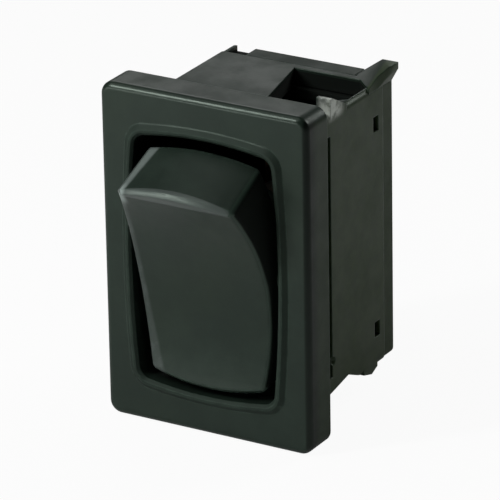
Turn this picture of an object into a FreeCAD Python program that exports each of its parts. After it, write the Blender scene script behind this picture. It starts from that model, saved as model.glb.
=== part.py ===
import FreeCAD, Part
import math
import os

from FreeCAD import Vector

# Snap-in rocker switch, single pole, two throws. Millimetres.
# Origin at the centre of the bezel flange's back face, where it seats on the panel.
# +Y runs back into the panel, +Z is up, and the rocker faces -Y.

# Bezel flange
FLANGE_SIDE = 1.5
FLANGE_END = 1.75
FLANGE_T = 2.8
FLANGE_CORNER_R = 0.9
FLANGE_EDGE_R = 0.45
FLANGE_BACK_CHAMFER = 0.14

# Opening in the bezel, bowed on all four sides, and the rolled lip around it
OPENING_SIDE_STEP = 0.35
OPENING_END_STEP = 0.15
OPENING_SIDE_BOW = 0.45
OPENING_END_BOW = 0.5
OPENING_CORNER_R = 0.9
LIP_W = 0.7
LIP_RISE = 0.28
LIP_SLOPE_W = 0.35
MOUTH_BEVEL = 0.18

# Case behind the flange
CASE_W = 12.7
CASE_H = 20.3
CASE_DEPTH = 10.0
CASE_CORNER_R = 0.5
SIDE_WALL = 1.1
END_WALL = 1.2

# Window in the top wall and the ear behind it
WINDOW_LEFT_X = 1.5
WINDOW_SKEW = 1.6
WINDOW_FRONT_Y = 1.9
WINDOW_REAR_LAND = 0.55
WINDOW_SIDE_SKIN = 0.35
EAR_RISE = 1.0
EAR_OUT = 0.5
EAR_LIP = 0.45
EAR_TOP_W = 1.2
EAR_FOOT_W = 2.1
EAR_LEN = 1.25
EAR_UNDERCUT = 0.35
EAR_FOOT_SETBACK = 1.95
EAR_FLARE_SETBACK = 0.7
EAR_RAMP_LEN = 1.75
EAR_RAMP_DEG = 45

# Snap wedges behind the flange, at two opposite corners of the case
PANEL_GAP = 2.9
WEDGE_RISE = 1.0
WEDGE_LEN = 2.2
WEDGE_CREST = 0.3
WEDGE_W = 1.05

# Long relief under the right side wall, and the nub behind it
RELIEF_Y = 0.3
RELIEF_PEAK_Y = 5.0
RELIEF_LEN = 6.8
RELIEF_DEPTH = 0.9
RELIEF_INSET = 0.1
NUB_RISE = 0.32
NUB_LEN = 1.9
NUB_CREST = 1.1

# Marks in the case sides
RIB_GROOVE_Y = 2.2
RIB_GROOVE_W = 1.3
RIB_GROOVE_DEPTH = 0.22
RIB_GROOVE_INSET = 1.55
DIMPLE_R = 0.35
DIMPLE_Y = 2.9
DIMPLE_RISE = 2.7

# Rocker, drawn in its middle position and then tilted by THROW to the stored pose
PIVOT_Y = -1.2
THROW_DEG = 15.3
ROCKER_SIDE_GAP = 0.15
ROCKER_END_GAP = 1.2
ROCKER_SIDE_BOW = 0.7
ROCKER_END_BOW = 0.65
ROCKER_CORNER_R = 0.55
ROCKER_CREST = 3.97
ROCKER_DISH_R = 18.5
ROCKER_END_FLARE_DEG = 8.0
ROCKER_EDGE_BEVEL = 0.3
SKIRT_DEPTH = 0.6
ROCKER_WALL = 1.1
TRUNNION_R = 1.0
TRUNNION_CLEARANCE = 0.04
TRUNNION_LEN = 0.75
TRUNNION_END_GAP = 0.1

# Rocker stem, plunger and spring
STEM_R = 1.9
STEM_TIP = 6.2
STEM_RIB_T = 0.8
PLUNGER_R = 1.0
PLUNGER_CLEARANCE = 0.05
PLUNGER_LEN = 3.2
PLUNGER_SPIGOT_R = 0.5
PLUNGER_SPIGOT_LEN = 0.8
SPRING_LEN = 2.9
SPRING_WIRE = 0.22
SPRING_TURNS = 5
SPRING_SIDES = 6
SPRING_CLEARANCE = 0.06
SPRING_END_GAP = 0.03

# Contact lever, folded to a shallow V whose middle rests in the common terminal's notches
LEVER_SWING_DEG = 9.0
LEVER_T = 0.5
LEVER_HALF_W = 1.5
LEVER_LUG_HALF_W = 2.3
LEVER_LUG_LEN = 1.0
LEVER_TO_PLUNGER = 0.06

# Contacts
CONTACT_INSET = 1.25
MOVING_CONTACT_R = 1.0
MOVING_CONTACT_H = 0.5
MOVING_TAIL_H = 0.2
FIXED_CONTACT_R = 1.15
CONTACT_CROWN = 0.12
CONTACT_SHANK_R = 0.55
SHANK_CLEARANCE = 0.02
CONTACT_GAP = 0.03

# Terminals
BLADE_W = 4.8
BLADE_T = 0.8
BLADE_LEN = 6.4
BLADE_BEVEL = 0.8
BLADE_POINT_T = 0.4
BLADE_HOLE_R = 0.8
BLADE_HOLE_FROM_TIP = 2.6
END_BLADE_INSET = 1.95
PAD_BEND_R = 0.4
PAD_MARGIN = 0.1
SADDLE_T = 0.5
SADDLE_HALF_H = 1.3
SADDLE_EAR_T = 0.5
SADDLE_NOTCH_HALF_H = 0.75
SADDLE_GAP = 0.03
SADDLE_EAR_RISE = 0.7

# Rear cover
COVER_T = 1.4
COVER_RIM_T = 0.7
COVER_RIM_DEPTH = 0.9
COVER_FIT = 0.08
SLOT_FIT = 0.05
COVER_NOTCH_X = -4.95
COVER_NOTCH_W = 1.45
COVER_NOTCH_DEPTH = 0.4
COVER_SIDE_SEAM = 0.1
HOOK_INSET = 1.55
HOOK_W = 0.9
HOOK_H = 0.5
HOOK_SETBACK = 1.25
HOOK_OUT = 0.8
HOOK_FIT = 0.1

# Stop ledges inside the case
LEDGE_W = 2.7
LEDGE_INNER_X = 1.9
LEDGE_DEPTH = 1.7
LEDGE_GAP = 0.17
LEDGE_LEN = 2.6

# Overrun of cuts past a surface, and the tolerance of comparisons
OVER = 1.0
TINY = 1e-6

cavity_half_w = CASE_W / 2 - SIDE_WALL
cavity_half_h = CASE_H / 2 - END_WALL
opening_half_w = cavity_half_w + OPENING_SIDE_STEP
opening_half_h = cavity_half_h + OPENING_END_STEP
rocker_half_w = cavity_half_w - ROCKER_SIDE_GAP
rocker_half_h = opening_half_h - ROCKER_END_GAP
cover_rear_y = CASE_DEPTH + COVER_T
end_blade_z = cavity_half_h - END_BLADE_INSET
contact_span = end_blade_z - CONTACT_INSET
hook_z = cavity_half_h - HOOK_INSET
groove_half_h = CASE_H / 2 - RIB_GROOVE_INSET
ear_foot_y = CASE_DEPTH - EAR_FOOT_SETBACK
throw = math.radians(THROW_DEG)
swing = math.radians(LEVER_SWING_DEG)

# Depths of the contact stack, counted forward from the cover's inner face
fixed_face_y = CASE_DEPTH - BLADE_T
lever_y = fixed_face_y - MOVING_CONTACT_H * 2
lever_front_y = lever_y - LEVER_T / math.cos(swing)
tip_centre = lever_front_y - PIVOT_Y - (PLUNGER_R + LEVER_TO_PLUNGER) / math.cos(swing)
plunger_rear = tip_centre - PLUNGER_LEN
bore_bottom = plunger_rear - SPRING_LEN


def box(x0, x1, y0, y1, z0, z1):
    return Part.makeBox(x1 - x0, y1 - y0, z1 - z0, Vector(x0, y0, z0))


def arc(a, b, c):
    return Part.Arc(a, b, c).toShape()


def prism_x(points, x0, x1):
    """A solid whose outline is given as (y, z) points, from x0 to x1."""
    corners = [Vector(x0, y, z) for y, z in points]
    face = Part.Face(Part.makePolygon(corners + corners[:1]))
    return face.extrude(Vector(x1 - x0, 0, 0))


def prism_z(points, z0, z1):
    """A solid whose outline is given as (x, y) points, from z0 to z1."""
    corners = [Vector(x, y, z0) for x, y in points]
    face = Part.Face(Part.makePolygon(corners + corners[:1]))
    return face.extrude(Vector(0, 0, z1 - z0))


def prism_y(points, y0, y1):
    """A solid whose outline is given as (x, z) points, from y0 to y1."""
    corners = [Vector(x, y0, z) for x, z in points]
    face = Part.Face(Part.makePolygon(corners + corners[:1]))
    return face.extrude(Vector(0, y1 - y0, 0))


def rounded_slab(half_w, half_h, corner_r, y0, y1):
    """A slab in the panel's plane with rounded corners, from y0 to y1."""
    slab = box(-half_w, half_w, y0, y1, -half_h, half_h)
    corners = [e for e in slab.Edges if is_along(e, Vector(0, 1, 0))]
    return slab.makeFillet(corner_r, corners)


def is_along(edge, direction):
    if not isinstance(edge.Curve, Part.Line):
        return False
    return abs(abs(edge.Curve.Direction.dot(direction)) - 1) < TINY


def barrel_wire(half_w, half_h, side_bow, end_bow, corner_r, y):
    """A closed outline whose four sides are shallow arcs, at depth y, with rounded corners."""
    cx, cz = half_w - side_bow, half_h - end_bow
    corners = [Vector(-cx, y, -cz), Vector(cx, y, -cz), Vector(cx, y, cz), Vector(-cx, y, cz)]
    middles = [Vector(0, y, -half_h), Vector(half_w, y, 0), Vector(0, y, half_h), Vector(-half_w, y, 0)]
    edges = [arc(corners[i], middles[i], corners[(i + 1) % 4]) for i in range(4)]
    face = Part.Face(Part.Wire(edges))
    slab = face.extrude(Vector(0, 1, 0))
    uprights = [e for e in slab.Edges if is_along(e, Vector(0, 1, 0))]
    rounded = slab.makeFillet(corner_r, uprights)
    front = min(rounded.Faces, key=lambda f: f.CenterOfMass.y)
    return front.OuterWire


def export(name, shape):
    shape.exportStep(os.path.join("parts", name + ".step"))


def tilted(shape):
    """Turns a shape from the rocker's middle position to the stored pose."""
    turned = shape.copy()
    turned.rotate(Vector(0, PIVOT_Y, 0), Vector(1, 0, 0), THROW_DEG)
    return turned


def make_flange():
    slab = rounded_slab(CASE_W / 2 + FLANGE_SIDE, CASE_H / 2 + FLANGE_END, FLANGE_CORNER_R, -FLANGE_T, 0)
    front = [e for e in slab.Edges if e.BoundBox.YMax < -FLANGE_T + TINY]
    slab = slab.makeFillet(FLANGE_EDGE_R, front)
    back = [e for e in slab.Edges if e.BoundBox.YMin > -TINY]
    slab = slab.makeChamfer(FLANGE_BACK_CHAMFER, back)
    crest_y = -FLANGE_T - LIP_RISE
    crest_w = LIP_W - LIP_SLOPE_W
    foot = barrel(LIP_W, -FLANGE_T)
    slope = Part.makeLoft([foot, barrel(crest_w, crest_y)], True, True)
    return slab.fuse([Part.Face(foot).extrude(Vector(0, FLANGE_T / 2, 0)), slope])


def barrel(grow, y):
    """The outline of the bezel's opening, grown all round by grow, at depth y."""
    return barrel_wire(
        opening_half_w + grow, opening_half_h + grow, OPENING_SIDE_BOW, OPENING_END_BOW,
        OPENING_CORNER_R + grow, y,
    )


def make_opening():
    """The bowed opening through the flange, with a bevelled mouth."""
    crest_y = -FLANGE_T - LIP_RISE
    hole = Part.Face(barrel(0, crest_y - OVER)).extrude(Vector(0, OVER - crest_y, 0))
    bevel = [barrel(2 * MOUTH_BEVEL, crest_y - MOUTH_BEVEL), barrel(0, crest_y + MOUTH_BEVEL)]
    return hole.fuse(Part.makeLoft(bevel, True, True))


def make_wedge():
    """A snap wedge for the top right corner: steep towards the panel, gentle towards the rear."""
    top = CASE_H / 2
    profile = [
        (PANEL_GAP, top - END_WALL / 2),
        (PANEL_GAP, top + WEDGE_RISE),
        (PANEL_GAP + WEDGE_CREST, top + WEDGE_RISE),
        (PANEL_GAP + WEDGE_LEN, top),
        (PANEL_GAP + WEDGE_LEN, top - END_WALL / 2),
    ]
    return prism_x(profile, CASE_W / 2 - WEDGE_W, CASE_W / 2)


def make_nub():
    """The small nub under the right side wall, behind its relief."""
    y0 = RELIEF_Y + RELIEF_LEN
    bottom = -CASE_H / 2
    profile = [
        (y0, bottom + END_WALL / 2), (y0, bottom), (y0 + NUB_CREST, bottom - NUB_RISE),
        (y0 + NUB_LEN, bottom), (y0 + NUB_LEN, bottom + END_WALL / 2),
    ]
    return prism_x(profile, cavity_half_w + RELIEF_INSET, CASE_W / 2)


def make_ear():
    """The ear at the top right rear corner: a ramp that rises from a slanted foot beside the window."""
    top = CASE_H / 2
    side = CASE_W / 2
    flare_y = CASE_DEPTH - EAR_FLARE_SETBACK
    rear_y = CASE_DEPTH + EAR_LEN
    plan = prism_z(
        [(side, ear_foot_y), (side, flare_y), (side + EAR_OUT, flare_y + 2 * EAR_OUT),
         (side + EAR_OUT, rear_y), (side - EAR_FOOT_W, rear_y), (side - EAR_FOOT_W, ear_foot_y + EAR_FOOT_W)],
        top - END_WALL, top + EAR_RISE,
    )
    across = prism_y(
        [(side - EAR_FOOT_W, top), (side + EAR_OUT - EAR_TOP_W, top + EAR_RISE),
         (side + EAR_OUT, top + EAR_RISE), (side + EAR_OUT, top + EAR_RISE - EAR_LIP),
         (side, top - EAR_UNDERCUT), (cavity_half_w, top - EAR_UNDERCUT)],
        ear_foot_y, rear_y,
    )
    ramp = prism_x(
        [(ear_foot_y, top - END_WALL), (ear_foot_y, top), (ear_foot_y + EAR_RAMP_LEN, top + EAR_RISE),
         (rear_y + OVER, top + EAR_RISE), (rear_y + OVER, top - END_WALL)],
        side - 2 * EAR_FOOT_W, side + 2 * EAR_FOOT_W,
    )
    ramp.rotate(Vector(side, ear_foot_y, 0), Vector(0, 0, 1), -EAR_RAMP_DEG)
    return across.common(plan).common(ramp)


def make_window():
    """The window in the top wall: slanted on the left, stepped round the wedge, up to the ear's foot."""
    rear = CASE_DEPTH - WINDOW_REAR_LAND
    right = CASE_W / 2 - WINDOW_SIDE_SKIN
    wedge_rear = PANEL_GAP + WEDGE_LEN
    return prism_z(
        [(WINDOW_LEFT_X, WINDOW_FRONT_Y), (cavity_half_w, WINDOW_FRONT_Y), (cavity_half_w, wedge_rear),
         (right, wedge_rear + right - cavity_half_w), (right, ear_foot_y + WINDOW_SIDE_SKIN),
         (CASE_W / 2 - rear + ear_foot_y, rear), (WINDOW_LEFT_X - WINDOW_SKEW, rear)],
        cavity_half_h - OVER / 2, CASE_H / 2 + EAR_RISE,
    )


def hook_slots():
    """Slots in both side walls for the cover's hooks."""
    y1 = CASE_DEPTH - HOOK_SETBACK + HOOK_H + HOOK_FIT
    y0 = CASE_DEPTH - HOOK_SETBACK - HOOK_FIT
    half = HOOK_W / 2 + HOOK_FIT
    slots = []
    for side in (-1, 1):
        x0, x1 = sorted((side * (cavity_half_w - OVER / 2), side * (CASE_W / 2 + OVER)))
        for z in (-hook_z, hook_z):
            slots.append(box(x0, x1, y0, y1, z - half, z + half))
    return slots


def stop_ledges():
    """Ledges on the end walls that stop the rocker's skirt, one at each end."""
    reach = SKIRT_DEPTH * math.cos(throw) + skirt_half_h() * math.sin(throw)
    front = PIVOT_Y + reach + LEDGE_GAP
    inner = cavity_half_h - LEDGE_DEPTH
    ledges = []
    for sign in (-1, 1):
        outline = [
            (front, sign * inner),
            (front, sign * (cavity_half_h + END_WALL / 2)),
            (front + LEDGE_LEN, sign * (cavity_half_h + END_WALL / 2)),
            (front + LEDGE_LEN, sign * cavity_half_h),
            (front + LEDGE_LEN - LEDGE_DEPTH, sign * inner),
        ]
        x0, x1 = sorted((-sign * LEDGE_INNER_X, -sign * (LEDGE_INNER_X + LEDGE_W)))
        ledges.append(prism_x(outline, x0, x1))
    return ledges


def make_housing():
    case = rounded_slab(CASE_W / 2, CASE_H / 2, CASE_CORNER_R, -FLANGE_T / 2, CASE_DEPTH)
    shell = make_flange().fuse(case)
    upper_wedge = make_wedge()
    lower_wedge = upper_wedge.copy()
    lower_wedge.rotate(Vector(), Vector(0, 1, 0), 180)
    shell = shell.fuse([upper_wedge, lower_wedge, make_ear(), make_nub()])
    cavity = box(
        -cavity_half_w, cavity_half_w, -FLANGE_T / 2, CASE_DEPTH + OVER, -cavity_half_h, cavity_half_h
    )
    shell = shell.cut([cavity, make_opening()])
    shell = shell.fuse(stop_ledges())

    grooves = []
    for side in (-1, 1):
        x0, x1 = sorted((side * (CASE_W / 2 - RIB_GROOVE_DEPTH), side * (CASE_W / 2 + OVER)))
        y0, y1 = RIB_GROOVE_Y - RIB_GROOVE_W / 2, RIB_GROOVE_Y + RIB_GROOVE_W / 2
        grooves.append(box(x0, x1, y0, y1, -groove_half_h, groove_half_h))
    relief = prism_x(
        [
            (RELIEF_Y, -CASE_H / 2 - OVER),
            (RELIEF_Y, -CASE_H / 2),
            (RELIEF_PEAK_Y, -CASE_H / 2 + RELIEF_DEPTH),
            (RELIEF_Y + RELIEF_LEN, -CASE_H / 2),
            (RELIEF_Y + RELIEF_LEN, -CASE_H / 2 - OVER),
        ],
        cavity_half_w + RELIEF_INSET, CASE_W / 2 + OVER,
    )
    dimple = Part.makeSphere(DIMPLE_R, Vector(CASE_W / 2 + DIMPLE_R / 3, DIMPLE_Y, DIMPLE_RISE - CASE_H / 2))
    socket_reach = cavity_half_w + TRUNNION_LEN + TRUNNION_END_GAP
    sockets = Part.makeCylinder(
        TRUNNION_R + TRUNNION_CLEARANCE,
        2 * socket_reach, Vector(-socket_reach, PIVOT_Y, 0), Vector(1, 0, 0),
    )
    return shell.cut([make_window(), relief, dimple, sockets] + grooves + hook_slots())


def skirt_half_h():
    """Half height of the rocker's end wall at its rear rim."""
    return rocker_half_h + (ROCKER_CREST + SKIRT_DEPTH) * math.tan(math.radians(ROCKER_END_FLARE_DEG))


def bowed_plate(half_w, half_chord, bow, reach, y):
    """A flat face whose long sides are arcs: half_w at the middle, bow less at half_chord, cut at reach."""
    radius = (bow**2 + half_chord**2) / (2 * bow)
    end_x = half_w - radius + math.sqrt(radius**2 - reach**2)
    a, b = Vector(end_x, y, -reach), Vector(end_x, y, reach)
    c, d = Vector(-end_x, y, reach), Vector(-end_x, y, -reach)
    right, left = arc(a, Vector(half_w, y, 0), b), arc(c, Vector(-half_w, y, 0), d)
    top, bottom = Part.LineSegment(b, c).toShape(), Part.LineSegment(d, a).toShape()
    return Part.Face(Part.Wire([right, top, left, bottom]))


def rocker_block(shrink, rear):
    """The rocker's form before its face is dished, with bowed sides and flared, bowed ends."""
    y = PIVOT_Y - ROCKER_CREST - OVER
    depth = PIVOT_Y + rear - y
    flare = math.tan(math.radians(ROCKER_END_FLARE_DEG))
    half_w, half_h = rocker_half_w - shrink, rocker_half_h - shrink
    corner_x, corner_z = rocker_half_w - ROCKER_SIDE_BOW, rocker_half_h - ROCKER_END_BOW
    sides = bowed_plate(half_w, corner_z, ROCKER_SIDE_BOW, half_h + 2 * OVER, y)
    ends = bowed_plate(half_h - OVER * flare, corner_x, ROCKER_END_BOW, rocker_half_w + OVER, y)
    ends.rotate(Vector(0, y, 0), Vector(0, 1, 0), 90)
    upper = ends.extrude(Vector(0, depth, depth * flare))
    lower = ends.extrude(Vector(0, depth, -depth * flare))
    return sides.extrude(Vector(0, depth, 0)).common(upper.fuse(lower)).removeSplitter()


def dish_cylinder(extra):
    """The cylinder that dishes the rocker's face; extra is how much deeper it lies."""
    centre = PIVOT_Y - ROCKER_CREST - math.sqrt(ROCKER_DISH_R**2 - rocker_half_h**2)
    reach = 2 * rocker_half_w
    return Part.makeCylinder(ROCKER_DISH_R + extra, 2 * reach, Vector(-reach, centre, 0), Vector(1, 0, 0))


def make_rocker_shell():
    body = rocker_block(0, SKIRT_DEPTH)
    corners = [e for e in body.Edges
               if abs(e.CenterOfMass.x) > rocker_half_w / 2 and e.BoundBox.YLength > ROCKER_CREST]
    body = body.makeFillet(ROCKER_CORNER_R, corners).cut(dish_cylinder(0))
    rim = [e for f in body.Faces if is_dish(f) for e in f.Edges]
    body = body.makeChamfer(ROCKER_EDGE_BEVEL, rim)
    hollow = rocker_block(ROCKER_WALL, SKIRT_DEPTH + OVER).cut(dish_cylinder(ROCKER_WALL))
    return body.cut(hollow)


def is_dish(face):
    return isinstance(face.Surface, Part.Cylinder) and abs(face.Surface.Radius - ROCKER_DISH_R) < TINY


def make_rocker():
    reach = cavity_half_w + TRUNNION_LEN
    trunnion = Part.makeCylinder(TRUNNION_R, 2 * reach, Vector(-reach, PIVOT_Y, 0), Vector(1, 0, 0))
    dish_floor = ROCKER_CREST + math.sqrt(ROCKER_DISH_R**2 - rocker_half_h**2) - ROCKER_DISH_R
    ceiling = PIVOT_Y - dish_floor + ROCKER_WALL / 2
    stem = Part.makeCylinder(STEM_R, PIVOT_Y + STEM_TIP - ceiling, Vector(0, ceiling, 0), Vector(0, 1, 0))
    web_x = rocker_half_w - ROCKER_WALL / 2
    web = box(-web_x, web_x, ceiling, PIVOT_Y + SKIRT_DEPTH, -STEM_RIB_T / 2, STEM_RIB_T / 2)
    bore = Part.makeCylinder(
        PLUNGER_R + PLUNGER_CLEARANCE, STEM_TIP - bore_bottom + OVER,
        Vector(0, PIVOT_Y + bore_bottom, 0), Vector(0, 1, 0),
    )
    return tilted(make_rocker_shell().fuse([trunnion, stem, web]).cut(bore))


def make_plunger():
    rod = Part.makeCylinder(PLUNGER_R, PLUNGER_LEN, Vector(0, PIVOT_Y + plunger_rear, 0), Vector(0, 1, 0))
    tip = Part.makeSphere(PLUNGER_R, Vector(0, PIVOT_Y + tip_centre, 0))
    spigot = Part.makeCylinder(
        PLUNGER_SPIGOT_R, PLUNGER_SPIGOT_LEN + OVER,
        Vector(0, PIVOT_Y + plunger_rear - PLUNGER_SPIGOT_LEN, 0), Vector(0, 1, 0),
    )
    return tilted(rod.fuse([tip, spigot]))


def make_spring():
    """A coil of round wire, whose section is drawn with flat sides so that it stays light."""
    radius = PLUNGER_R - SPRING_CLEARANCE - SPRING_WIRE / 2
    height = SPRING_LEN - SPRING_WIRE - 2 * SPRING_END_GAP
    helix = Part.makeHelix(height / SPRING_TURNS, height, radius)
    angles = [2 * math.pi * i / SPRING_SIDES for i in range(SPRING_SIDES)]
    half = SPRING_WIRE / 2
    corners = [Vector(radius + half * math.cos(a), 0, half * math.sin(a)) for a in angles]
    profile = Part.makePolygon(corners + corners[:1])
    coil = Part.Wire(helix).makePipeShell([profile], True, True)
    coil.rotate(Vector(), Vector(1, 0, 0), -90)
    coil.translate(Vector(0, PIVOT_Y + bore_bottom + SPRING_WIRE / 2 + SPRING_END_GAP, 0))
    return tilted(coil)


def lever_arm():
    """The upper arm of the lever, flat, with its rear face on the plane y = lever_y."""
    end = box(-LEVER_HALF_W, LEVER_HALF_W, lever_y - LEVER_T, lever_y, 0, contact_span)
    tip = Part.makeCylinder(
        LEVER_HALF_W, LEVER_T, Vector(0, lever_y - LEVER_T, contact_span), Vector(0, 1, 0)
    )
    lug = box(-LEVER_LUG_HALF_W, LEVER_LUG_HALF_W, lever_y - LEVER_T, lever_y, 0, LEVER_LUG_LEN / 2)
    hole = Part.makeCylinder(
        CONTACT_SHANK_R + SHANK_CLEARANCE, LEVER_T + 2 * OVER,
        Vector(0, lever_y - LEVER_T - OVER, contact_span), Vector(0, 1, 0),
    )
    return end.fuse([tip, lug]).cut(hole)


def lever_pose(shape, end):
    """Puts a piece drawn on the flat upper arm on the arm asked for: at rest the lower one is raised."""
    if end > 0:
        return shape
    placed = shape.mirror(Vector(), Vector(0, 0, 1))
    placed.rotate(Vector(0, lever_y, 0), Vector(1, 0, 0), -2 * LEVER_SWING_DEG)
    return placed


def make_lever():
    arm = lever_arm()
    lower = lever_pose(arm, -1)
    return arm.fuse(lower).removeSplitter()


def moving_contact(end):
    head = Part.makeCylinder(
        MOVING_CONTACT_R, MOVING_CONTACT_H - CONTACT_CROWN, Vector(0, lever_y, contact_span), Vector(0, 1, 0)
    )
    shank = Part.makeCylinder(
        CONTACT_SHANK_R, LEVER_T + 2 * MOVING_TAIL_H,
        Vector(0, lever_y - LEVER_T - MOVING_TAIL_H, contact_span), Vector(0, 1, 0),
    )
    tail = Part.makeCone(
        CONTACT_SHANK_R, CONTACT_SHANK_R + MOVING_TAIL_H, MOVING_TAIL_H,
        Vector(0, lever_y - LEVER_T - MOVING_TAIL_H, contact_span), Vector(0, 1, 0),
    )
    crown = dome(MOVING_CONTACT_R, CONTACT_CROWN)
    crown.translate(Vector(0, lever_y + MOVING_CONTACT_H - CONTACT_CROWN, contact_span))
    return lever_pose(head.fuse([shank, tail, crown]), end)


def dome(radius, rise):
    """A shallow spherical cap on the plane y = 0, crowned towards +y."""
    ball_r = (radius**2 + rise**2) / (2 * rise)
    ball = Part.makeSphere(ball_r, Vector(0, rise - ball_r, 0))
    return ball.common(box(-radius, radius, 0, rise + OVER, -radius, radius))


def fixed_contact(end):
    height = MOVING_CONTACT_H - CONTACT_GAP
    z = end * contact_span
    head = Part.makeCylinder(
        FIXED_CONTACT_R, height - CONTACT_CROWN, Vector(0, fixed_face_y, z), Vector(0, -1, 0)
    )
    crown = dome(FIXED_CONTACT_R, CONTACT_CROWN).mirror(Vector(), Vector(0, 1, 0))
    crown.translate(Vector(0, fixed_face_y - height + CONTACT_CROWN, z))
    shank = Part.makeCylinder(CONTACT_SHANK_R, BLADE_T, Vector(0, fixed_face_y, z), Vector(0, 1, 0))
    return head.fuse([crown, shank])


def blade(z):
    """A quick-connect tab from the cover's inner face to its tip, with a bevelled end and a hole."""
    tip_y = cover_rear_y + BLADE_LEN
    half_w, half_t = BLADE_W / 2, BLADE_T / 2
    plan = [
        Vector(-half_w, CASE_DEPTH - BLADE_T, -half_t),
        Vector(half_w, CASE_DEPTH - BLADE_T, -half_t),
        Vector(half_w, tip_y - BLADE_BEVEL, -half_t),
        Vector(half_w - BLADE_BEVEL, tip_y, -half_t),
        Vector(-half_w + BLADE_BEVEL, tip_y, -half_t),
        Vector(-half_w, tip_y - BLADE_BEVEL, -half_t),
    ]
    tab = Part.Face(Part.makePolygon(plan + plan[:1])).extrude(Vector(0, 0, BLADE_T))
    side = [
        (CASE_DEPTH - BLADE_T - OVER, -half_t),
        (tip_y - BLADE_BEVEL, -half_t),
        (tip_y, -BLADE_POINT_T / 2),
        (tip_y, BLADE_POINT_T / 2),
        (tip_y - BLADE_BEVEL, half_t),
        (CASE_DEPTH - BLADE_T - OVER, half_t),
    ]
    tab = tab.common(prism_x(side, -half_w - OVER, half_w + OVER))
    hole = Part.makeCylinder(
        BLADE_HOLE_R, BLADE_T + 2 * OVER, Vector(0, tip_y - BLADE_HOLE_FROM_TIP, -half_t - OVER)
    )
    tab = tab.cut(hole)
    tab.translate(Vector(0, 0, z))
    return tab


def end_terminal(end):
    inner_z = contact_span - FIXED_CONTACT_R - PAD_MARGIN
    pad = box(
        -BLADE_W / 2, BLADE_W / 2, fixed_face_y, CASE_DEPTH, inner_z, end_blade_z + BLADE_T / 2
    )
    outer = [e for e in pad.Edges
             if is_along(e, Vector(1, 0, 0))
             and abs(e.CenterOfMass.y - fixed_face_y) < TINY
             and e.CenterOfMass.z > end_blade_z]
    pad = pad.makeFillet(PAD_BEND_R, outer)
    tab = blade(end_blade_z)
    corner = box(
        -BLADE_W, BLADE_W, fixed_face_y - OVER, CASE_DEPTH, end_blade_z - BLADE_T, end_blade_z + BLADE_T
    )
    hole = Part.makeCylinder(
        CONTACT_SHANK_R + SHANK_CLEARANCE, BLADE_T + 2 * OVER,
        Vector(0, fixed_face_y - OVER, contact_span), Vector(0, 1, 0),
    )
    terminal = tab.cut(corner).fuse(pad).removeSplitter().cut(hole)
    if end < 0:
        return terminal.mirror(Vector(), Vector(0, 0, 1))
    return terminal


def make_common_terminal():
    """The middle terminal: a folded blade whose inner end opens to a base with two notched ears."""
    tab = blade(0)
    half_w = BLADE_W / 2
    base = box(-half_w, half_w, CASE_DEPTH - SADDLE_T, CASE_DEPTH, -SADDLE_HALF_H, SADDLE_HALF_H)
    clear = box(-half_w - OVER, half_w + OVER, 0, CASE_DEPTH - SADDLE_T, -OVER, OVER)
    tab = tab.cut(clear)
    ear_front = lever_y + SADDLE_GAP - SADDLE_EAR_RISE
    ears = []
    for side in (-1, 1):
        x0, x1 = sorted((side * half_w, side * (half_w - SADDLE_EAR_T)))
        ear = box(x0, x1, ear_front, CASE_DEPTH, -SADDLE_HALF_H, SADDLE_HALF_H)
        rounds = [e for e in ear.Edges
                  if is_along(e, Vector(1, 0, 0)) and abs(e.CenterOfMass.y - ear_front) < TINY]
        ears.append(ear.makeFillet((SADDLE_HALF_H - SADDLE_NOTCH_HALF_H) / 2, rounds))
    notch = box(
        -half_w - OVER, half_w + OVER, 0, lever_y + SADDLE_GAP, -SADDLE_NOTCH_HALF_H, SADDLE_NOTCH_HALF_H
    )
    return tab.fuse([base] + ears).cut(notch).removeSplitter()


def make_rear_cover():
    plate = rounded_slab(CASE_W / 2 - COVER_SIDE_SEAM, CASE_H / 2, CASE_CORNER_R, CASE_DEPTH, cover_rear_y)
    rim_y = CASE_DEPTH - COVER_RIM_DEPTH
    half_w, half_h = cavity_half_w - COVER_FIT, cavity_half_h - COVER_FIT
    rim = box(-half_w, half_w, rim_y, CASE_DEPTH, -half_h, half_h)
    inner = box(
        -half_w + COVER_RIM_T, half_w - COVER_RIM_T, rim_y - OVER, CASE_DEPTH,
        -half_h + COVER_RIM_T, half_h - COVER_RIM_T,
    )
    rim = rim.cut(inner)
    hook_y = CASE_DEPTH - HOOK_SETBACK
    hooks = []
    for side in (-1, 1):
        for z in (-hook_z, hook_z):
            arm_x = sorted((side * half_w, side * (half_w - COVER_RIM_T)))
            hook_x = sorted((side * (half_w - COVER_RIM_T / 2), side * (half_w + HOOK_OUT)))
            z0, z1 = z - HOOK_W / 2, z + HOOK_W / 2
            hooks.append(box(arm_x[0], arm_x[1], hook_y - HOOK_FIT, CASE_DEPTH, z0, z1))
            hooks.append(box(hook_x[0], hook_x[1], hook_y, hook_y + HOOK_H, z0, z1))
    cover = plate.fuse([rim] + hooks)
    slots = []
    for z in (-end_blade_z, 0, end_blade_z):
        half_t = BLADE_T / 2 + SLOT_FIT
        slots.append(box(
            -BLADE_W / 2 - SLOT_FIT, BLADE_W / 2 + SLOT_FIT, CASE_DEPTH - OVER, cover_rear_y + OVER,
            z - half_t, z + half_t,
        ))
    notch = box(
        COVER_NOTCH_X - COVER_NOTCH_W / 2, COVER_NOTCH_X + COVER_NOTCH_W / 2, CASE_DEPTH - OVER,
        cover_rear_y + OVER, CASE_H / 2 - COVER_NOTCH_DEPTH, CASE_H / 2 + OVER,
    )
    ear_room = box(
        CASE_W / 2 - EAR_FOOT_W - COVER_FIT, CASE_W, CASE_DEPTH, cover_rear_y + OVER,
        CASE_H / 2 - EAR_UNDERCUT - COVER_FIT, CASE_H,
    )
    return cover.cut(slots + [notch, ear_room])


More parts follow.
